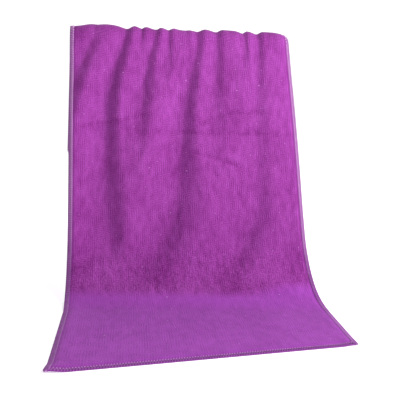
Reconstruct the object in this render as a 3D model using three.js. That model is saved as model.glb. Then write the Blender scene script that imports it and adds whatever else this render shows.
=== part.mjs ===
// Quick-dry towel: one sheet of brushed warp-knit microfibre hung over a narrow rail.
// The short end hangs behind, the long end hangs in front and lies forward on a level
// surface. All four edges are overlocked, each by a run of three threads.
// Millimetres, +Z up. X runs along the rail, the front of the towel faces -Y, and the
// origin is the point at mid width where the towel sits on the rail.
import * as THREE from 'three';

// The sheet, laid flat
const WIDTH = 350;
const LENGTH = 750;
const THICKNESS = 3;

// How it hangs
const RAIL_RADIUS = 8;
const FLAP_LENGTH = 209; // back hem to the top of the rail, at mid width
const FLAP_SLANT = 0.213; // growth of the flap per millimetre to the right
const SURFACE_DROP = 343; // rail seat down to the surface that the front end lies on
const FRONT_LEAN = 6.2; // degrees that the front panel leans forward
const COVE_RADIUS = 92; // bend where the front panel runs out onto the surface
const RAIL_SPREAD = 0.82; // width between the edges, as a share of WIDTH, at the rail,
const FOOT_SPREAD = 0.96; // at the foot of the cove,
const HEM_SPREAD = 1; // and at the front hem
const FOOT_SHIFT = 28; // sideways shift of the middle from the rail to the foot

// Folds: ridges that stand off the rail, with a notch between each two. A notch's
// `track` is its place across the width, as shares of WIDTH from the middle, at the rail,
// half way to the foot of the cove, and at the foot. `width` is half its width at the
// rail in millimetres, and `reach` is how far down the front it fades out.
const RIDGE_HEIGHT = 8;
const NOTCH_GROWTH = 0.06; // widening of a notch per millimetre down the sheet
const BACK_REACH = 340; // fading length of every notch down the back
const NOTCHES = [
  { track: [-0.54, -0.55, -0.55], width: 16, reach: 300 },
  { track: [-0.24, -0.38, -0.36], width: 9, reach: 420 },
  { track: [-0.17, -0.22, -0.24], width: 8, reach: 220 },
  { track: [0.0, -0.03, -0.17], width: 15, reach: 420 },
  { track: [0.14, 0.1, 0.09], width: 9, reach: 170 },
  { track: [0.27, 0.25, 0.24], width: 7, reach: 90 },
  { track: [0.34, 0.3, 0.18], width: 8, reach: 420 },
  { track: [0.4, 0.42, 0.43], width: 6, reach: 70 },
  { track: [0.53, 0.53, 0.54], width: 14, reach: 300 },
];

// Overlocked edges
const PINCHED_THICKNESS = 1.2; // cloth squeezed by the stitches
const PINCH_RAMP = 5; // from the seam's inner side to full thickness
const SEAM_BITE = 5; // depth of the looper threads in from the edge
const THREAD = 0.5;
const NEEDLE_WIDTH = 0.7;
const CLEARANCE = 0.3; // gap kept between pieces that touch

// Facets
const FOLD_STEP = 9; // across the width
const FLAT_STEP = 20; // along the hanging stretches
const APRON_STEP = 40; // along the stretch that lies on the surface
const RAIL_STEPS = 8;
const COVE_STEPS = 8;

const SEAM_DEPTH = SEAM_BITE + CLEARANCE + NEEDLE_WIDTH + CLEARANCE;

const { clamp, degToRad, lerp, smoothstep } = THREE.MathUtils;

// The side profile of the middle of the sheet's thickness, as stretches that are each
// straight or round. `heading` is 0 going up, 90 degrees going forward, 180 going down.
function makeProfile() {
  const bendRadius = RAIL_RADIUS + THICKNESS / 2;
  const lean = degToRad(FRONT_LEAN);
  const frontHeading = Math.PI - lean;
  const overRail = bendRadius * frontHeading;
  const railTop = bendRadius * Math.PI / 2;
  const coveTurn = frontHeading - Math.PI / 2;
  const bendEndZ = bendRadius * Math.sin(lean) - RAIL_RADIUS;
  const surfaceMiddleZ = THICKNESS / 2 - SURFACE_DROP;
  const toCorner = (bendEndZ - surfaceMiddleZ) / Math.cos(lean);
  const hang = toCorner - COVE_RADIUS * Math.tan(coveTurn / 2);
  const cove = COVE_RADIUS * coveTurn;
  const flap = FLAP_LENGTH - railTop;
  const apron = LENGTH - flap - overRail - hang - cove;
  const stretches = [
    { length: flap, turn: 0 },
    { length: overRail, turn: frontHeading },
    { length: hang, turn: 0 },
    { length: cove, turn: -coveTurn },
    { length: apron, turn: 0 },
  ];
  let place = { y: bendRadius, z: -RAIL_RADIUS - flap, heading: 0 };
  let from = -FLAP_LENGTH;
  for (const stretch of stretches) {
    stretch.from = from;
    stretch.start = place;
    place = along(stretch, stretch.length);
    from += stretch.length;
  }
  return stretches;
}

// The place and heading a distance along one stretch.
function along(stretch, distance) {
  const { y, z, heading } = stretch.start;
  if (stretch.turn === 0) {
    return {
      y: y - Math.sin(heading) * distance,
      z: z + Math.cos(heading) * distance,
      heading,
    };
  }
  const radius = stretch.length / stretch.turn;
  const end = heading + distance / radius;
  return {
    y: y + radius * (Math.cos(end) - Math.cos(heading)),
    z: z + radius * (Math.sin(end) - Math.sin(heading)),
    heading: end,
  };
}

const PROFILE = makeProfile();
const COVE = PROFILE[3].from;
const FOOT = PROFILE[4].from;

// The sheet lies over the rail at a slant, so its two ends change across the width.
// `down` runs from -flapLength at the back hem, through 0 on the rail, to frontLength.
const flapLength = (across) => FLAP_LENGTH + FLAP_SLANT * across;
const frontLength = (across) => LENGTH - flapLength(across);

function profileAt(down) {
  const stretch = PROFILE.findLast((item) => item.from <= down) ?? PROFILE[0];
  return along(stretch, down - stretch.from);
}

// A value that runs through three others at the start, middle and end of a stretch.
function throughThree([start, middle, end], share) {
  return start * (1 - share) * (1 - 2 * share) + middle * 4 * share * (1 - share)
    + end * share * (2 * share - 1);
}

// Height of the folds off the profile. It is even within the seams.
function foldHeight(across, down) {
  const u = clamp(across, SEAM_DEPTH - WIDTH / 2, WIDTH / 2 - SEAM_DEPTH);
  const v = clamp(down, SEAM_DEPTH - flapLength(across), FOOT);
  const distance = Math.abs(v);
  let hollow = 0;
  for (const { track, width, reach } of NOTCHES) {
    const middle = throughThree(track, Math.max(0, v) / FOOT) * WIDTH;
    const offset = (u - middle) / (width + NOTCH_GROWTH * distance);
    const fade = 1 - smoothstep(distance, 0, v > 0 ? reach : BACK_REACH);
    hollow = Math.max(hollow, fade * Math.exp(-offset * offset));
  }
  const height = RIDGE_HEIGHT * (1 - smoothstep(v, COVE, FOOT));
  return height * (1 - hollow);
}

// A point of the middle of the sheet's thickness.
function sheetPoint(across, down) {
  const { y, z, heading } = profileAt(down);
  const hang = clamp(down / FOOT, 0, 1);
  const lying = Math.max(0, (down - FOOT) / (frontLength(0) - FOOT));
  const spread = lerp(RAIL_SPREAD, FOOT_SPREAD, hang) + (HEM_SPREAD - FOOT_SPREAD) * lying;
  const height = foldHeight(across, down);
  return new THREE.Vector3(
    FOOT_SHIFT * hang + spread * across,
    y + height * Math.cos(heading),
    z + height * Math.sin(heading),
  );
}

// A point lifted off that surface along its outward direction.
function lifted(across, down, lift) {
  const reach = 0.5;
  const alongWidth = sheetPoint(across + reach, down).sub(sheetPoint(across - reach, down));
  const alongLength = sheetPoint(across, down + reach).sub(sheetPoint(across, down - reach));
  const outward = alongLength.cross(alongWidth).normalize();
  return sheetPoint(across, down).addScaledVector(outward, lift);
}

// Half the cloth's thickness, which the stitches squeeze along every edge.
function halfThickness(across, down) {
  const fromSide = WIDTH / 2 - Math.abs(across);
  const fromHem = Math.min(down + flapLength(across), frontLength(across) - down);
  const inside = Math.min(fromSide, fromHem) - SEAM_DEPTH;
  const full = clamp(inside / PINCH_RAMP, 0, 1);
  return lerp(PINCHED_THICKNESS, THICKNESS, full) / 2;
}

// Even steps from one value to another, both ends included.
function steps(from, to, count) {
  return Array.from({ length: count + 1 }, (_, i) => lerp(from, to, i / count));
}

function facetColumns() {
  const edge = WIDTH / 2;
  const seam = edge - SEAM_DEPTH;
  const body = seam - PINCH_RAMP;
  return [-edge, -seam, ...steps(-body, body, Math.ceil(2 * body / FOLD_STEP)), seam, edge];
}

// The facets' places down one column. Every column has as many.
function facetStops(across) {
  const [, overRail, hang, cove, apron] = PROFILE;
  const back = -flapLength(across);
  const front = frontLength(across);
  const inset = SEAM_DEPTH + PINCH_RAMP;
  return [
    back,
    back + SEAM_DEPTH,
    ...steps(back + inset, overRail.from, Math.ceil(FLAP_LENGTH / FLAT_STEP)),
    ...steps(overRail.from, hang.from, RAIL_STEPS).slice(1),
    ...steps(hang.from, cove.from, Math.ceil(hang.length / FLAT_STEP)).slice(1),
    ...steps(cove.from, apron.from, COVE_STEPS).slice(1),
    ...steps(apron.from, front - inset, Math.ceil(apron.length / APRON_STEP)).slice(1),
    front - SEAM_DEPTH,
    front,
  ];
}

// A closed body between two grids of points of the same size.
function shellBetween(outer, inner) {
  const rows = outer.length;
  const columns = outer[0].length;
  const points = [...outer.flat(), ...inner.flat()];
  const depth = rows * columns;
  const index = [];
  const quad = (a, b, c, d) => index.push(a, b, c, a, c, d);
  for (let i = 0; i < rows - 1; i += 1) {
    for (let j = 0; j < columns - 1; j += 1) {
      const a = i * columns + j;
      quad(a, a + columns, a + columns + 1, a + 1);
      quad(depth + a, depth + a + 1, depth + a + columns + 1, depth + a + columns);
    }
  }
  for (let i = 0; i < rows - 1; i += 1) {
    const a = i * columns;
    const b = a + columns - 1;
    quad(a, depth + a, depth + a + columns, a + columns);
    quad(b, b + columns, depth + b + columns, depth + b);
  }
  for (let j = 0; j < columns - 1; j += 1) {
    const b = (rows - 1) * columns + j;
    quad(j, j + 1, depth + j + 1, depth + j);
    quad(b, depth + b, depth + b + 1, b + 1);
  }
  if (signedVolume(points, index) < 0) {
    index.reverse();
  }
  const geometry = new THREE.BufferGeometry().setFromPoints(points);
  geometry.setIndex(index);
  geometry.computeVertexNormals();
  return geometry;
}

function signedVolume(points, index) {
  let six = 0;
  for (let i = 0; i < index.length; i += 3) {
    const [a, b, c] = [points[index[i]], points[index[i + 1]], points[index[i + 2]]];
    six += a.dot(b.clone().cross(c));
  }
  return six / 6;
}

// The towel's cloth.
function clothGeometry(columns) {
  const point = (across, down, side) => (
    lifted(across, down, side * halfThickness(across, down))
  );
  const rows = facetStops(0).keys().toArray();
  const face = (side) => rows.map((row) => columns.map((across) => (
    point(across, facetStops(across)[row], side)
  )));
  return shellBetween(face(1), face(-1));
}

// The sections of the three threads of a run, as an outer and an inner line. Each point
// is how far in from the edge it lies and how far off the middle of the cloth.
function threadSections() {
  const near = PINCHED_THICKNESS / 2 + CLEARANCE;
  const far = near + THREAD;
  const middle = CLEARANCE / 2;
  const looper = (side) => ({
    outer: [[SEAM_BITE, side * far], [-CLEARANCE - THREAD, side * far],
      [-CLEARANCE - THREAD, side * middle]],
    inner: [[SEAM_BITE, side * near], [-CLEARANCE, side * near], [-CLEARANCE, side * middle]],
  });
  const needleFrom = SEAM_BITE + CLEARANCE;
  const needleTo = needleFrom + NEEDLE_WIDTH;
  return {
    needle_thread: {
      outer: [[needleTo, far], [needleFrom, far]],
      inner: [[needleTo, near], [needleFrom, near]],
    },
    upper_looper_thread: looper(1),
    lower_looper_thread: looper(-1),
  };
}

// The four runs. Each turns a place along its edge and a depth in from it into a place
// on the sheet. The hem runs end where the side runs' threads begin.
function seamRuns(columns) {
  const side = WIDTH / 2;
  const hemColumns = columns.filter((across) => Math.abs(across) <= side - SEAM_DEPTH);
  return {
    left: { stops: facetStops(-side), place: (stop, depth) => [depth - side, stop] },
    right: { stops: facetStops(side), place: (stop, depth) => [side - depth, stop] },
    front_hem: { stops: hemColumns, place: (stop, depth) => [stop, frontLength(stop) - depth] },
    back_hem: { stops: hemColumns, place: (stop, depth) => [stop, depth - flapLength(stop)] },
  };
}

function threadGeometry(run, section) {
  const grid = (line) => run.stops.map((stop) => line.map(([depth, lift]) => (
    lifted(...run.place(stop, depth), lift)
  )));
  return shellBetween(grid(section.outer), grid(section.inner));
}

function addPiece(group, name, geometry, look) {
  const mesh = new THREE.Mesh(geometry, new THREE.MeshStandardMaterial(look));
  mesh.name = name;
  group.add(mesh);
}

const CLOTH_LOOK = { color: 0xa53eac, roughness: 0.95, metalness: 0 };
const THREAD_LOOK = { color: 0xb478bc, roughness: 0.6, metalness: 0 };

function makeTowel() {
  const columns = facetColumns();
  const towel = new THREE.Group();
  addPiece(towel, 'towel_cloth', clothGeometry(columns), CLOTH_LOOK);
  for (const [edge, run] of Object.entries(seamRuns(columns))) {
    for (const [thread, section] of Object.entries(threadSections())) {
      addPiece(towel, `${edge}_${thread}`, threadGeometry(run, section), THREAD_LOOK);
    }
  }
  return towel;
}

export default makeTowel();
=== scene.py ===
"""Looks of the quick-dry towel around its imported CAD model. Metres, in the row's frame.

One sheet of brushed, ribbed microfibre hangs gathered over a hidden rail, its front end
runs out onto a surface, and each edge is overlocked with three threads.
"""
import math

import bpy
import numpy as np
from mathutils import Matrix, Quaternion, Vector


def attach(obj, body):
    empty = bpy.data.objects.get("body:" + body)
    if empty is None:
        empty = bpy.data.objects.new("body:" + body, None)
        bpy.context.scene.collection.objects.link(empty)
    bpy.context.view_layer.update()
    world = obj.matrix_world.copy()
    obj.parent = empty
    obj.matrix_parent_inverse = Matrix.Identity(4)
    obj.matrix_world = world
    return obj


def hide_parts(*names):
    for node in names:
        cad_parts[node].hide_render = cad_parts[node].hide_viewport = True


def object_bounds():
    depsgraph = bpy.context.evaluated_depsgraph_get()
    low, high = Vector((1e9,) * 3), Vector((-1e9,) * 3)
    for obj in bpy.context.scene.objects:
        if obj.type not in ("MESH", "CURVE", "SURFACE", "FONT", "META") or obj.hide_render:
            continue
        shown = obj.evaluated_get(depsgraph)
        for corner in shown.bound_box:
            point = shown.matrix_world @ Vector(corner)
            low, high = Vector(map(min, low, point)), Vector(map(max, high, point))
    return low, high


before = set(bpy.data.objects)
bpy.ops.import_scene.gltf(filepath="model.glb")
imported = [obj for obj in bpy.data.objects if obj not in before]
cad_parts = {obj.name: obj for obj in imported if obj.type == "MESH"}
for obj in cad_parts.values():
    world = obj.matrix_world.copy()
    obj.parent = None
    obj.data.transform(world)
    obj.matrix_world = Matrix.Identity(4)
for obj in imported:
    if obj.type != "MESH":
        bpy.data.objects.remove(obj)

CAD_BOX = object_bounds()
MM = 0.001

# The sheet, laid flat
WIDTH = 350 * MM
LENGTH = 750 * MM
THICKNESS = 3 * MM  # with its pile
PINCHED_THICKNESS = 1.2 * MM  # squeezed by the stitches
SEAM_BITE = 5 * MM  # of the loops, in from the edge
SEAM_DEPTH = 6.3 * MM  # of the whole seam
PINCH_RAMP = 5 * MM  # from squeezed to full thickness

# How it hangs. The rail seat is the origin, and the surface is the bottom of the CAD box.
RAIL_RADIUS = 8 * MM
FLAP_LENGTH = 209 * MM  # behind the top of the rail, at mid width
FLAP_SLANT = 0.213  # growth of that length per metre to the right
SURFACE_DROP = -CAD_BOX[0].z
FRONT_LENGTH = LENGTH - FLAP_LENGTH
FRONT_LEAN = math.radians(6.2)
COVE_RADIUS = 92 * MM  # of the bend onto the surface
RAIL_SPREAD, FOOT_SPREAD, HEM_SPREAD = 0.82, 0.96, 1.0  # between the edges, of WIDTH
FLAP_FLARE = 0.018  # more spread at the back hem, of WIDTH
FOOT_SHIFT = 28 * MM  # of the middle to the right, from the rail to the surface
EDGE_TURN = math.radians(27)  # the right edge turns back this far,
EDGE_TURN_WIDTH, EDGE_TURN_EASE = 7.5 * MM, 4.5 * MM  # over this width, eased in
SIDE_FLARE, RIGHT_FLARE = 1.2 * MM, 2.6 * MM  # of the edges, from the bend onward
CORNER_LENGTH = 28 * MM
CORNER_LIFT, CORNER_SHIFT = 3 * MM, 1.5 * MM  # of the front left corner, up and left
RIGHT_CORNER_SHARE = 0.5  # of that lift and shift

# Folds. Each valley has a steep right flank, and it is given at stops down the sheet by
# that flank's place, as a share of WIDTH from the middle, and by the valley's depth, as a
# share of the ridges' height. A row that ends early keeps its last value. The last number
# is the half width at the rail.
RIDGE_HEIGHT = 13 * MM
RAIL_RIDGE = 0.35  # share of RIDGE_HEIGHT at the rail,
RIDGE_GROWTH = (-20 * MM, 130 * MM)  # growing to all of it over these distances
FOLD_END = 32 * MM  # short of the foot
VALLEY_GROWTH = 0.075  # of the half width, per metre from the rail
FLANK_PLACE = 0.56  # of the steep flank, in half widths right of a valley's middle
STEEP_SIDE, GENTLE_SIDE = 0.8, 1.7  # reach of a valley's two sides, in half widths
VALLEY_BLEND = 4  # how closely overlapping valleys keep to the deeper one
BACK_REACH = 400 * MM  # fading length of every valley down the back
STOPS = [stop * MM for stop in (0, 40, 90, 160, 240, 300, 340)]
VALLEYS = [
    ((-0.43, -0.49, -0.52, -0.52, -0.55), (0.8, 0.5, 0), 24 * MM),
    ((-0.355, -0.42, -0.475, -0.52, -0.55), (0.1, 0.95, 0.6, 0), 12 * MM),
    ((-0.165, -0.17, -0.2), (0.8, 0.3, 0), 5 * MM),
    ((-0.04, -0.05), (0.9, 0.4, 0), 6 * MM),
    ((0.045, 0.04, 0.03, 0.02, 0), (0.7, 0.3, 0), 12 * MM),
    ((-0.22, -0.27, -0.31, -0.32, -0.305, -0.275, -0.26), (0.9, 1, 1, 1, 1, 0.8, 0.2), 9 * MM),
    ((-0.09, -0.135, -0.165, -0.18, -0.19, -0.2), (0.8, 0.65, 0.6, 0.2, 0), 8 * MM),
    ((0.1, 0.075, 0.03, 0.012, -0.015, -0.09, -0.18), (0.8, 0.8, 0.8, 0.8, 0.9, 1, 0.9), 10 * MM),
    ((0.18, 0.17, 0.16, 0.15), (0.8, 0.45, 0.35, 0.1, 0), 7 * MM),
    ((0.3,), (0.8, 0.2, 0), 5 * MM),
    ((0.37, 0.36, 0.35, 0.34, 0.325, 0.255, 0.17), (0.8, 0.3, 0.25, 0.25, 0.5, 0.7, 0.6), 6 * MM),
    ((0.54, 0.54, 0.54, 0.55, 0.57, 0.6), (0.8, 0.6, 0.2, 0.1, 0), 12 * MM),
]

# Unevenness laid over the shape, layer by layer: its cells' size across and down the
# sheet, and its height
SWAY, RIPPLE = (42 * MM, 75 * MM, 1.3 * MM), (20 * MM, 34 * MM, 0.5 * MM)
STREAKS, DIMPLES = (7 * MM, 26 * MM, 0.16 * MM), (14 * MM, 16 * MM, 0.22 * MM)
RUFFLES = (5.5 * MM, 8 * MM, 0.5 * MM)

# Faint creases across the folds, with painted shade along them: shares of WIDTH, places down,
# depth
CREASE_HALF_WIDTH = 3.4 * MM
CREASES = [
    ((-0.48, -0.33, -0.14), (134 * MM, 125 * MM, 112 * MM), 0.8 * MM),
    ((-0.3, -0.1, 0.14), (132 * MM, 137 * MM, 130 * MM), 0.35 * MM),
    ((0.02, 0.2, 0.36), (130 * MM, 107 * MM, 105 * MM), 0.9 * MM),
    ((-0.05, 0.3, 0.5), (136 * MM, 133 * MM, 134 * MM), 0.65 * MM),
    ((0.0, 0.1, 0.25), (158 * MM, 166 * MM, 179 * MM), 1 * MM),
]

# Stitching
STITCH_PITCH = 3.0 * MM
THREAD_RADIUS = 0.3 * MM
STITCH_POINTS = 10
LOOP_OVERHANG = 1.6 * THREAD_RADIUS  # of the loops past the edge
LOOP_SLANT = 0.16 * STITCH_PITCH
LOOPER_FULLNESS = 0.9  # share of THREAD_RADIUS
NEEDLE_PLACE = SEAM_BITE + 0.2 * MM
TAIL = 2 * MM  # of the side runs past the front hem
TAIL_DEPTH = 1 * MM

# Colours
# The hanging cloth, darkest to lightest, mixed by its grain together with painted shade and a
# painted highlight
PILE_DARK, PILE_LIGHT = (0.175, 0.014, 0.17, 1), (0.38, 0.069, 0.40, 1)
# Where the towel lies: the cloth's colour, lighter and bluer with painted sheen and light from
# above
APRON_DARK, APRON_LIGHT = (0.225, 0.031, 0.275, 1), (0.365, 0.066, 0.45, 1)
# Painted shade on the cloth between the stitches and just inside the seams, lighter where the
# towel lies
SEAM_SHADE, LOW_SEAM_SHADE = (0.16, 0.025, 0.18, 1), (0.23, 0.035, 0.28, 1)
# Thread colours where the towel hangs, lilac with painted sheen; the low ones below are the
# threads' own colour
LOOPER_SHEEN_DARK, LOOPER_SHEEN_LIGHT = (0.38, 0.17, 0.41, 1), (0.70, 0.40, 0.72, 1)
NEEDLE_SHEEN_DARK, NEEDLE_SHEEN_LIGHT = (0.66, 0.24, 0.70, 1), (0.95, 0.55, 0.95, 1)
LOW_THREAD_DARK, LOW_THREAD_LIGHT = (0.19, 0.045, 0.23, 1), (0.44, 0.14, 0.50, 1)
LOW_SHEEN_SHARE, HEM_SHEEN_SHARE = 0.05, 0.4  # of the threads' lilac painted sheen kept where the towel lies
LINT = (0.55, 0.25, 0.60, 1)

# Knit
RIB_PITCH = 3 * MM
COURSE_PITCH = 2.8 * MM
SHADE_PATCH_PITCH, SHADE_PATCH_PHASE = 110 * MM, -3.26  # of the patches of painted shade above the bend

# Surroundings' brightness in front of the towel, behind it, and round the horizon
FRONT_GLOW, BACK_GLOW, HORIZON_GLOW = 0.02, 1.2, 0.85

# Light and floor
KEY_LIGHT_PLACE, KEY_LIGHT_TARGET = (1.12, -0.8, 0.6), (0.03, -0.06, -0.2)
KEY_LIGHT_SIZE, KEY_LIGHT_WATTS = 1.0, 33.5
FLOOR_HALF_SIZE, FLOOR_GAP = 40.0, 0.3 * MM

# Camera
VIEW_TARGET, VIEW_DISTANCE = (0.03043, -0.060, -0.2113), 1.0338
VIEW_AZIMUTH, VIEW_ELEVATION, VIEW_ROLL = (math.radians(a) for a in (-6.918, 12.501, 2.888))
SENSOR_WIDTH_MM, LENS_MM = 36, 70.84

# Mesh steps
SHAPE_STEP = 4.2 * MM
CLOTH_STEP = 2.3 * MM


# ---- The sheet's shape -------------------------------------------------------------


def profile(down):
    """Side profile of the cloth's middle: y, z and heading at distances down the sheet.
    The heading is 0 going up, a quarter turn going forward and half a turn going down."""
    bend = RAIL_RADIUS + THICKNESS / 2
    over_turn = math.pi - FRONT_LEAN
    cove_turn = over_turn - math.pi / 2
    drop = bend * math.sin(FRONT_LEAN) - RAIL_RADIUS - THICKNESS / 2 + SURFACE_DROP
    hang = drop / math.cos(FRONT_LEAN) - COVE_RADIUS * math.tan(cove_turn / 2)
    flap = FLAP_LENGTH - bend * math.pi / 2
    stretches = [
        (flap, 0.0),
        (bend * over_turn, over_turn),
        (hang, 0.0),
        (COVE_RADIUS * cove_turn, -cove_turn),
        (LENGTH, 0.0),
    ]
    y, z, heading, start = bend, -RAIL_RADIUS - flap, 0.0, -FLAP_LENGTH
    out = np.zeros((3,) + np.shape(down))
    starts = []
    for length, turn in stretches:
        inside = down >= start if starts else np.ones_like(down, bool)
        out[:, inside] = along(y, z, heading, length, turn, down[inside] - start)
        y, z, heading = along(y, z, heading, length, turn, np.array(length))
        starts.append(start)
        start += length
    return out[0], out[1], out[2], starts


def along(y, z, heading, length, turn, distance):
    """The place and heading a distance along one straight or round stretch."""
    if turn == 0:
        still = np.full_like(distance, heading)
        return y - np.sin(heading) * distance, z + np.cos(heading) * distance, still
    radius = length / turn
    end = heading + distance / radius
    return (
        y + radius * (np.cos(end) - np.cos(heading)),
        z + radius * (np.sin(end) - np.sin(heading)),
        end,
    )


COVE_START, FOOT = profile(np.zeros(1))[3][3:5]


def smoothstep(value, low, high):
    share = np.clip((value - low) / (high - low), 0, 1)
    return share * share * (3 - 2 * share)


def through(values, down):
    """Values given at the first of STOPS, joined by a smooth line."""
    stops = STOPS[: len(values)]
    shifts = np.linspace(-20, 20, 5) * MM
    return sum(np.interp(down + shift, stops, values) for shift in shifts) / len(shifts)


def fold_height(across, down):
    """Height of the folds off the profile."""
    u = np.clip(across, SEAM_DEPTH - WIDTH / 2, WIDTH / 2 - SEAM_DEPTH)
    v = np.minimum(down, FOOT)
    distance = np.abs(v)
    hollow = np.zeros_like(u)
    for track, depth, width in VALLEYS:
        wide = width + VALLEY_GROWTH * distance
        offset = u - (through(track, v) * WIDTH - FLANK_PLACE * wide)
        offset = offset / (wide * np.where(offset > 0, STEEP_SIDE, GENTLE_SIDE))
        reach = through(depth, v) * (1 - smoothstep(-v, 0, BACK_REACH))
        hollow += (reach * np.exp(-offset * offset)) ** VALLEY_BLEND
    grown = RAIL_RIDGE + (1 - RAIL_RIDGE) * smoothstep(distance, *RIDGE_GROWTH)
    uneven = unevenness(3, SWAY, across, down) + unevenness(4, RIPPLE, across, down)
    height = RIDGE_HEIGHT * grown * (1 - np.minimum(1, hollow ** (1 / VALLEY_BLEND)))
    height = height + uneven * smoothstep(distance, 0, 60 * MM)
    return height * (1 - smoothstep(v, COVE_START, FOOT - FOLD_END))


def past_rail(across, laid):
    """Distance down the front from the top of the rail, and less than 0 behind it."""
    return laid - FLAP_LENGTH - FLAP_SLANT * across


def crease_depth(across, laid):
    down = past_rail(across, laid)
    share = across / WIDTH
    total = np.zeros_like(across)
    for shares, places, depth in CREASES:
        offset = (down - np.interp(share, shares, places)) / CREASE_HALF_WIDTH
        ends = smoothstep(share, shares[0], shares[0] + 0.05)
        ends = ends * (1 - smoothstep(share, shares[-1] - 0.05, shares[-1] + 0.03))
        total += depth * ends * np.exp(-offset * offset)
    return total


def edge_turn(across):
    """Distance along the part of the right edge that turns back, eased in."""
    turn = np.maximum(0, across - WIDTH / 2 + EDGE_TURN_WIDTH)
    eased = turn * turn / (2 * EDGE_TURN_EASE)
    return np.where(turn < EDGE_TURN_EASE, eased, turn - EDGE_TURN_EASE / 2)


def sheet_points(across, laid):
    """Points of the middle of the cloth's thickness, hung at a slant over the rail.
    `laid` runs from 0 at the back hem to LENGTH at the front hem."""
    down = past_rail(across, laid)
    y, z, heading, _ = profile(down)
    hang = np.clip(down / FOOT, 0, 1)
    lying = np.maximum(0, (down - FOOT) / (FRONT_LENGTH - FOOT))
    spread = RAIL_SPREAD + (FOOT_SPREAD - RAIL_SPREAD) * hang
    spread = spread + (HEM_SPREAD - FOOT_SPREAD) * lying
    spread = spread + FLAP_FLARE * np.clip(-down / FLAP_LENGTH, 0, 1.3)
    edge = np.clip(2 * across / WIDTH, -1, 1)
    flare = SIDE_FLARE * edge**3 + RIGHT_FLARE * np.maximum(0, edge) ** 4
    flare = flare * smoothstep(down, COVE_START, FOOT)
    turned = edge_turn(across) * (1 - smoothstep(down, COVE_START, FOOT - 20 * MM))
    flare = flare - turned * (1 - math.cos(EDGE_TURN))
    height = fold_height(across, down) - turned * math.sin(EDGE_TURN)
    settled = THICKNESS / 2 - half_thickness(across, laid)
    settled = settled * smoothstep(down, FOOT - 10 * MM, FOOT)
    corner = smoothstep(np.abs(edge), 0.87, 1)
    corner = corner * smoothstep(laid, LENGTH - CORNER_LENGTH, LENGTH)
    corner = corner * np.where(edge < 0, 1, RIGHT_CORNER_SHARE)
    settled = settled - CORNER_LIFT * corner
    flare = flare - CORNER_SHIFT * corner
    return np.stack(
        [
            FOOT_SHIFT * hang + spread * across + flare,
            y + height * np.cos(heading),
            z + height * np.sin(heading) - settled,
        ],
        -1,
    )


def even_steps(low, high, step):
    return np.linspace(low, high, round((high - low) / step) + 1)


class Sheet:
    """A smooth surface through an even grid of points, read at any place on the sheet."""

    def __init__(self, step, shape):
        self.u = even_steps(-WIDTH / 2, WIDTH / 2, step)
        self.v = even_steps(0, LENGTH, step)
        across, laid = np.meshgrid(self.u, self.v)
        self.points = shape(across, laid)

    def at(self, across, laid):
        """Points by cubic interpolation, carried on straight past the edges."""
        grid = np.pad(self.points, ((2, 2), (2, 2), (0, 0)), "reflect", reflect_type="odd")
        ku, wu = cubic(across, self.u)
        kv, wv = cubic(laid, self.v)
        total = 0
        for i in range(4):
            for j in range(4):
                total = total + (wv[i] * wu[j])[..., None] * grid[kv + i, ku + j]
        return total

    def lifted(self, across, laid, lift):
        """Points off the surface along its outward direction."""
        reach = 0.5 * MM
        wide = self.at(across + reach, laid) - self.at(across - reach, laid)
        long = self.at(across, laid + reach) - self.at(across, laid - reach)
        outward = np.cross(long, wide)
        outward /= np.linalg.norm(outward, axis=-1, keepdims=True)
        return self.at(across, laid) + outward * np.asarray(lift)[..., None]


def cubic(values, ticks):
    """First index into a grid padded by 2, and the four Catmull-Rom weights."""
    place = (values - ticks[0]) / (ticks[1] - ticks[0])
    cell = np.clip(np.floor(place), -1, len(ticks) - 1).astype(int)
    t = place - cell
    weights = [
        0.5 * (-t + 2 * t**2 - t**3),
        0.5 * (2 - 5 * t**2 + 3 * t**3),
        0.5 * (t + 4 * t**2 - 3 * t**3),
        0.5 * (-(t**2) + t**3),
    ]
    return cell + 1, weights


class Noise:
    """Smooth seeded noise over the laid-out sheet, with cells of a given size."""

    def __init__(self, seed, cell_across, cell_down):
        self.u = even_steps(-WIDTH, WIDTH, cell_across)
        self.v = even_steps(-LENGTH, LENGTH, cell_down)
        rng = np.random.default_rng(seed)
        self.grid = rng.uniform(-1, 1, (len(self.v) + 4, len(self.u) + 4))

    def at(self, across, laid):
        ku, wu = cubic(across, self.u)
        kv, wv = cubic(laid, self.v)
        return sum(
            wv[i] * wu[j] * self.grid[kv + i, ku + j] for i in range(4) for j in range(4)
        )


def unevenness(seed, layer, across, laid):
    cell_across, cell_down, height = layer
    return Noise(seed, cell_across, cell_down).at(across, laid) * height


# ---- The cloth ---------------------------------------------------------------------


def half_thickness(across, laid):
    """Half the cloth's thickness, which the stitches squeeze along every edge."""
    from_side = WIDTH / 2 - np.abs(across)
    from_hem = np.minimum(laid, LENGTH - laid)
    inside = np.minimum(from_side, from_hem) - SEAM_DEPTH + 1 * MM
    full = smoothstep(inside, 0, PINCH_RAMP)
    return (PINCHED_THICKNESS + (THICKNESS - PINCHED_THICKNESS) * full) / 2


def relief(across, laid, seed):
    """Soft unevenness of the pile, longer down the sheet than across, and its ruffles
    above the bend onto the surface."""
    down = past_rail(across, laid)
    ruffled = smoothstep(down, COVE_START, COVE_START + 50 * MM)
    ruffled = ruffled * (1 - smoothstep(down, FOOT - 50 * MM, FOOT - 30 * MM))
    return (
        unevenness(seed, STREAKS, across, laid)
        + unevenness(seed + 1, DIMPLES, across, laid)
        + unevenness(seed + 2, RUFFLES, across, laid) * ruffled
    )


def add_object(name, data):
    thing = bpy.data.objects.new(name, data)
    bpy.context.collection.objects.link(thing)
    return thing


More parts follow.
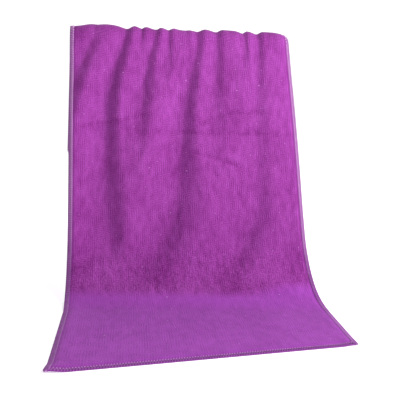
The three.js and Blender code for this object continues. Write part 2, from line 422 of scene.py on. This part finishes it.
def make_cloth(sheet):
    across, laid = np.meshgrid(
        even_steps(-WIDTH / 2, WIDTH / 2, CLOTH_STEP), even_steps(0, LENGTH, CLOTH_STEP)
    )
    half = half_thickness(across, laid)
    soft = half / (THICKNESS / 2)
    crease = crease_depth(across, laid)
    face = sheet.lifted(across, laid, half + soft * relief(across, laid, 11) - crease)
    back = sheet.lifted(across, laid, -half + soft * relief(across, laid, 23) - crease)
    back[..., 2] = np.maximum(back[..., 2], -SURFACE_DROP)
    rows, columns = across.shape
    points = np.concatenate([face.reshape(-1, 3), back.reshape(-1, 3)])
    # The crease depth rides along to the shader, which paints shade along the creases
    places = np.stack([across, laid, crease], -1).reshape(-1, 3)
    mesh = bpy.data.meshes.new("towel_cloth_pile")
    mesh.from_pydata(points.tolist(), [], closed_faces(rows, columns))
    mesh.shade_smooth()
    attribute = mesh.attributes.new("laid", "FLOAT_VECTOR", "POINT")
    attribute.data.foreach_set("vector", np.concatenate([places, places]).ravel())
    return add_object("towel_pile_cloth", mesh)


def closed_faces(rows, columns):
    """Faces of two stacked grids and the rim between them."""
    index = np.arange(rows * columns).reshape(rows, columns)
    a, b, c, d = index[:-1, :-1], index[1:, :-1], index[1:, 1:], index[:-1, 1:]
    face = np.stack([a, b, c, d], -1).reshape(-1, 4)
    back = face[:, ::-1] + rows * columns
    ring = np.concatenate(
        [index[:, 0], index[-1, 1:], index[-2::-1, -1], index[0, -2:0:-1]]
    )
    following = np.roll(ring, -1)
    under = rows * columns
    rim = np.stack([ring, ring + under, following + under, following], -1)
    return np.concatenate([face, back, rim]).tolist()


# ---- The overlock threads ----------------------------------------------------------


def seam_runs():
    """Each edge's run: its two ends, and the place on the sheet at a distance along it
    and a depth in from it."""
    side, end = WIDTH / 2, WIDTH / 2 - SEAM_DEPTH
    return {
        "left": (0, LENGTH + TAIL, lambda t, a: (a - side, t)),
        "right": (0, LENGTH + TAIL, lambda t, a: (side - a, t)),
        "front_hem": (-end, end, lambda t, a: (t, LENGTH - a)),
        "back_hem": (-end, end, lambda t, a: (t, a)),
    }


def stitch_phase(start, end):
    """Turns of the stitching, distances along the run, and how far the run's tail past
    the front hem has drawn together."""
    count = round((end - start) / STITCH_PITCH)
    turns = np.linspace(0, count, count * STITCH_POINTS + 1)
    distance = start + (end - start) * turns / count
    return turns, distance, smoothstep(distance, LENGTH - 1 * MM, LENGTH + TAIL)


def looper_path(start, end, side):
    """Loops from the needle line out over the edge and back, on one side of the cloth.
    The loops of the two sides lock into each other in turn along the edge. The path is its
    distances along the run, depths in from the edge, lifts off the cloth's middle, and
    fullness."""
    turns, distance, drawn = stitch_phase(start, end)
    angle = 2 * math.pi * (turns + 0.25 * side)
    depth = -LOOP_OVERHANG + (SEAM_BITE + LOOP_OVERHANG) * (0.5 + 0.5 * np.cos(angle))
    over = smoothstep(depth, -LOOP_OVERHANG, 1.2 * MM)
    lift = THREAD_RADIUS * 0.8 + (PINCHED_THICKNESS / 2 + THREAD_RADIUS * 0.35) * over
    lift = side * lift * (1 - 0.4 * drawn)
    slant = LOOP_SLANT * np.sin(angle) * side
    depth = depth * (1 - 0.7 * drawn) + TAIL_DEPTH * drawn
    return distance + slant, depth, lift, LOOPER_FULLNESS


def needle_path(start, end):
    """A line of stitches along the inside of the loops, dipping into the cloth."""
    turns, distance, drawn = stitch_phase(start, end)
    rise = np.sin(math.pi * (turns - 0.25)) ** 4
    depth = NEEDLE_PLACE * (1 - 0.6 * drawn)
    lift = PINCHED_THICKNESS / 2 + (3.4 * rise - 1.4) * THREAD_RADIUS
    return distance, depth, lift, 0.25 + 2.4 * rise


def make_thread(name, sheet, place, path):
    distance, depth, lift, fullness = path
    across, laid = place(distance, depth)
    points = sheet.lifted(across, laid, lift)
    points[..., 2] = np.maximum(points[..., 2], THREAD_RADIUS - SURFACE_DROP)
    curve = bpy.data.curves.new(name, "CURVE")
    curve.dimensions = "3D"
    curve.bevel_depth = THREAD_RADIUS
    curve.bevel_resolution = 1
    curve.use_fill_caps = True
    spline = curve.splines.new("POLY")
    spline.points.add(len(points) - 1)
    spline.points.foreach_set("co", np.insert(points, 3, 1, axis=1).ravel())
    spline.points.foreach_set("radius", fullness * np.ones(len(points)))
    return add_object(name, curve)


def make_threads(sheet):
    threads = {}
    for edge, (start, end, place) in seam_runs().items():
        paths = {
            "needle": needle_path(start, end),
            "upper_looper": looper_path(start, end, 1),
            "lower_looper": looper_path(start, end, -1),
        }
        for kind, path in paths.items():
            thread = make_thread(f"{edge}_{kind}_stitches", sheet, place, path)
            threads[f"{edge}_{kind}_thread"] = thread
    return threads


# ---- Materials ---------------------------------------------------------------------


class Nodes:
    """A node tree, built by short calls."""

    def __init__(self, tree):
        self.tree = tree

    def add(self, kind, values=None, **settings):
        node = self.tree.nodes.new("ShaderNode" + kind)
        for key, value in settings.items():
            setattr(node, key, value)
        for socket, value in (values or {}).items():
            self.put(node.inputs[socket], value)
        return node

    def put(self, socket, value):
        if isinstance(value, bpy.types.NodeSocket):
            self.tree.links.new(value, socket)
        else:
            socket.default_value = value

    def maths(self, operation, *values):
        node = self.add("Math", operation=operation)
        for socket, value in zip(node.inputs, values):
            self.put(socket, value)
        return node.outputs[0]

    def noise(self, vector, scale, detail=2.0, stretch=(1, 1, 1)):
        scaled = self.add("VectorMath", {0: vector, 1: stretch}, operation="MULTIPLY")
        values = {"Vector": scaled.outputs[0], "Scale": scale, "Detail": detail}
        return self.add("TexNoise", values).outputs["Fac"]

    def grain(self, vector, scale, detail=2.0, stretch=(1, 1, 1)):
        """Noise about 0."""
        return self.maths("SUBTRACT", self.noise(vector, scale, detail, stretch), 0.5)

    def stripes(self, distance, pitch):
        return self.maths("SINE", self.maths("MULTIPLY", distance, 2 * math.pi / pitch))

    def weighted(self, start, layers):
        """The start value and each layer times its weight, added up."""
        for layer, weight in layers:
            start = self.maths("MULTIPLY_ADD", layer, weight, start)
        return start

    def ramp(self, value, low, high):
        """A smooth step from 0 at the low value to 1 at the high one."""
        values = {"Value": value, "From Min": low, "From Max": high}
        node = self.add("MapRange", values, interpolation_type="SMOOTHSTEP")
        return node.outputs["Result"]

    def between(self, value, span, results):
        """A straight step from the first result to the second over a span of the value."""
        values = {"Value": value, "From Min": span[0], "From Max": span[1]}
        values.update({"To Min": results[0], "To Max": results[1]})
        return self.add("MapRange", values).outputs["Result"]

    def mix(self, share, first, second):
        node = self.add("Mix", data_type="RGBA")
        for socket, value in zip(("Factor", 6, 7), (share, first, second)):
            self.put(node.inputs[socket], value)
        return node.outputs[2]


class Material(Nodes):
    """A material's node tree, and the values of its shader."""

    def __init__(self, name):
        self.material = bpy.data.materials.new(name)
        self.material.use_nodes = True
        super().__init__(self.material.node_tree)

    def finish(self, values):
        shader = self.tree.nodes["Principled BSDF"]
        for socket, value in values.items():
            self.put(shader.inputs[socket], value)
        return self.material


def painted_light_zones(m, across, down):
    """Shares of the cloth that lies on the surface, from a little higher up on the right, which
    gets a lighter, bluer painted sheen; of the ruffled cloth above that, which gets crinkles and
    painted shade; and of the painted highlight on the bend."""
    early = m.ramp(across, 0.2 * WIDTH, 0.42 * WIDTH)
    onward = m.maths("MULTIPLY_ADD", early, 17 * MM, down)
    lying = m.ramp(onward, FOOT - 52 * MM, FOOT - 30 * MM)
    falling = m.maths("SUBTRACT", 1.0, lying)
    # Real crinkles and painted shade both lie over this zone above the bend
    ruffled = m.maths("MULTIPLY", m.ramp(down, COVE_START, COVE_START + 55 * MM), falling)
    # Painted highlight on the bend onto the surface
    bend = m.maths("SUBTRACT", lying, m.ramp(down, FOOT - 25 * MM, FOOT))
    return lying, ruffled, bend


def inside_seams(m, across, far):
    """Share of the cloth inside the seams and clear of their painted shade, which reaches a
    little past them.
    """
    from_side = m.maths("SUBTRACT", WIDTH / 2, m.maths("ABSOLUTE", across))
    from_hem = m.maths("MINIMUM", far, m.maths("SUBTRACT", LENGTH, far))
    from_edge = m.maths("MINIMUM", from_side, from_hem)
    return m.ramp(from_edge, SEAM_DEPTH - 1.5 * MM, SEAM_DEPTH + 3 * MM)


def pile_material():
    """Brushed ribbed microfibre: ribs down the sheet and courses across it, each showing in
    patches, tufts and the crinkles of the ruffled nap, with specks of lint. Painted shade lies
    along the creases, beside the seams and above the bend, with a painted highlight on the bend
    and a lighter, bluer painted sheen where the towel lies."""
    m = Material("brushed_microfibre")
    laid = m.add("Attribute", attribute_name="laid").outputs["Vector"]
    across, far, crease = m.add("SeparateXYZ", {0: laid}).outputs
    lean = m.maths("MULTIPLY_ADD", across, -FLAP_SLANT, -FLAP_LENGTH)
    lying, ruffled, bend = painted_light_zones(m, across, m.maths("ADD", far, lean))

    wander = m.noise(laid, 60.0, 1.0, (1, 0.4, 1))
    brushed = m.ramp(m.noise(laid, 75.0, 2.0, (1, 1.3, 1)), 0.42, 0.58)
    rib = m.stripes(m.maths("MULTIPLY_ADD", wander, 2.5 * MM, across), RIB_PITCH)
    rib = m.maths("MULTIPLY", rib, brushed)
    course = m.stripes(m.maths("MULTIPLY_ADD", wander, 3.0 * MM, far), COURSE_PITCH)
    course = m.maths("MULTIPLY", course, m.maths("SUBTRACT", 1.0, brushed))
    tufts = m.grain(laid, 800.0, 2.0, (1, 0.7, 1))
    patches = m.grain(laid, 130.0, 3.0, (1, 0.5, 1))
    broad = m.grain(laid, 22.0)
    crinkle = m.maths("MULTIPLY", m.grain(laid, 380.0, 4.0, (1, 0.7, 1)), ruffled)
    # Painted shade above the bend onto the surface, deeper in patches across the sheet
    patchy_shade = m.maths("MULTIPLY_ADD", across, 2 * math.pi / SHADE_PATCH_PITCH, SHADE_PATCH_PHASE)
    patchy_shade = m.maths("COSINE", m.maths("MULTIPLY_ADD", broad, 4.0, patchy_shade))
    patchy_shade = m.maths("MULTIPLY", patchy_shade, ruffled)

    # The knit's grain and mottle, plus painted shade above the bend and along the creases and a
    # painted highlight on the bend
    shade = m.weighted(0.5, [
        (rib, 0.2), (course, 0.14), (tufts, 1.05), (patches, 0.9), (broad, 0.6),
        (crinkle, 0.9), (ruffled, -0.06), (patchy_shade, -0.12), (crease, -0.2 / MM), (bend, 0.2),
    ])
    shade = m.add("Clamp", {0: shade}).outputs[0]
    high = m.mix(shade, PILE_DARK, PILE_LIGHT)
    # Where the towel lies, lighter and bluer: painted sheen and light from above
    colour = m.mix(lying, high, m.mix(shade, APRON_DARK, APRON_LIGHT))
    colour = m.mix(m.ramp(m.noise(laid, 330.0, 0.0), 0.84, 0.88), colour, LINT)
    # Painted shade between the stitches and beside the seams, lighter where the towel lies
    seam_shade = m.mix(lying, SEAM_SHADE, LOW_SEAM_SHADE)
    colour = m.mix(inside_seams(m, across, far), seam_shade, colour)

    height = m.weighted(0.0, [
        (rib, 0.4), (course, 0.2), (tufts, 4.0), (patches, 3.0), (crinkle, 7.0),
    ])
    bump = m.add("Bump", {"Height": height, "Distance": 0.3 * MM, "Strength": 0.8})
    return m.finish({
        "Base Color": colour,
        "Normal": bump.outputs["Normal"],
        "Roughness": 0.95,
        "Specular IOR Level": 0.1,
        "Sheen Weight": 0.18,
        "Sheen Roughness": 0.45,
        "Sheen Tint": (0.9, 0.55, 0.9, 1),
    })


def thread_material(name, dark, light, kept_sheen):
    """Twisted thread, lilac with painted sheen where the towel hangs. Where the towel lies, it
    keeps only a share of that painted sheen, and the rest is the thread's own colour, close to
    the cloth's."""
    m = Material(name)
    place = m.add("TexCoord").outputs["Object"]
    fibre = m.noise(place, 1800.0)
    shade = m.weighted(0.0, [(fibre, 0.4), (m.noise(place, 90.0), 0.6)])
    height = m.add("SeparateXYZ", {0: place}).outputs["Z"]
    hanging = m.ramp(height, 5 * MM - SURFACE_DROP, 150 * MM - SURFACE_DROP)
    sheen_share = m.maths("MULTIPLY_ADD", hanging, 1 - kept_sheen, kept_sheen)
    low = m.mix(shade, LOW_THREAD_DARK, LOW_THREAD_LIGHT)
    bump = m.add("Bump", {"Height": fibre, "Distance": 0.1 * MM, "Strength": 0.6})
    return m.finish({
        "Base Color": m.mix(sheen_share, low, m.mix(shade, dark, light)),
        "Normal": bump.outputs["Normal"],
        "Roughness": 0.6,
        "Sheen Weight": 0.2,
    })


def floor_material():
    m = Material("pale_floor")
    grain = m.noise(m.add("TexCoord").outputs["Object"], 14.0, 3.0)
    return m.finish({
        "Base Color": m.mix(grain, (0.9, 0.9, 0.9, 1), (0.94, 0.94, 0.94, 1)),
        "Roughness": 0.8,
        "Emission Color": (1, 1, 1, 1),
        "Emission Strength": 0.55,
    })


# ---- Stage, light and camera -------------------------------------------------------


def make_floor():
    size, height = FLOOR_HALF_SIZE, -SURFACE_DROP - FLOOR_GAP
    mesh = bpy.data.meshes.new("floor")
    corners = [(-size, -size), (size, -size), (size, size), (-size, size)]
    mesh.from_pydata([(x, y, height) for x, y in corners], [], [(0, 1, 2, 3)])
    mesh.materials.append(floor_material())
    add_object("floor", mesh)


def aim(thing, place, target):
    thing.location = place
    thing.rotation_mode = "QUATERNION"
    thing.rotation_quaternion = (Vector(target) - Vector(place)).to_track_quat("-Z", "Y")


def make_key_light():
    light = bpy.data.lights.new("key_light", "AREA")
    light.shape = "DISK"
    light.size = KEY_LIGHT_SIZE
    light.energy = KEY_LIGHT_WATTS
    aim(add_object("key_light", light), KEY_LIGHT_PLACE, KEY_LIGHT_TARGET)


def make_world():
    """Soft white surroundings, dimmer in front of the towel than behind it, with a pale
    band round the horizon."""
    world = bpy.data.worlds.new("studio")
    world.use_nodes = True
    m = Nodes(world.node_tree)
    axes = m.add("SeparateXYZ", {0: m.add("TexCoord").outputs["Generated"]}).outputs
    depth = m.between(axes["Y"], (-0.1, 0.5), (FRONT_GLOW, BACK_GLOW))
    band = m.between(m.maths("ABSOLUTE", axes["Z"]), (0.2, 0.26), (HORIZON_GLOW, 0.0))
    background = m.tree.nodes["Background"]
    m.put(background.inputs["Color"], (1, 1, 1, 1))
    m.put(background.inputs["Strength"], m.maths("MAXIMUM", depth, band))
    bpy.context.scene.world = world


def make_camera():
    back = Vector((
        math.sin(VIEW_AZIMUTH) * math.cos(VIEW_ELEVATION),
        -math.cos(VIEW_AZIMUTH) * math.cos(VIEW_ELEVATION),
        math.sin(VIEW_ELEVATION),
    ))
    data = bpy.data.cameras.new("camera")
    data.sensor_width = SENSOR_WIDTH_MM
    data.lens = LENS_MM
    camera = add_object("camera", data)
    aim(camera, Vector(VIEW_TARGET) + back * VIEW_DISTANCE, VIEW_TARGET)
    camera.rotation_quaternion @= Quaternion((0, 0, 1), VIEW_ROLL)
    bpy.context.scene.camera = camera


# ---- Putting it together -----------------------------------------------------------


def finish_piece(piece, material, slot, *nodes):
    piece.data.materials.append(material)
    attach(piece, "root")
    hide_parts(*nodes)


def main():
    make_camera()
    sheet = Sheet(SHAPE_STEP, sheet_points)
    cloth = make_cloth(sheet)
    finish_piece(cloth, pile_material(), "cloth", "towel_cloth")
    threads = make_threads(sheet)
    looper = thread_material("looper_thread", LOOPER_SHEEN_DARK, LOOPER_SHEEN_LIGHT, LOW_SHEEN_SHARE)
    needles = {
        "side": thread_material("side_needle_thread", NEEDLE_SHEEN_DARK, NEEDLE_SHEEN_LIGHT, LOW_SHEEN_SHARE),
        "hem": thread_material("hem_needle_thread", NEEDLE_SHEEN_DARK, NEEDLE_SHEEN_LIGHT, HEM_SHEEN_SHARE),
    }
    for node, thread in threads.items():
        needle = needles["hem" if "hem" in node else "side"]
        finish_piece(thread, needle if "needle" in node else looper, "thread", node)
    make_floor()
    make_key_light()
    make_world()
    bpy.context.scene.view_settings.view_transform = "Standard"


main()
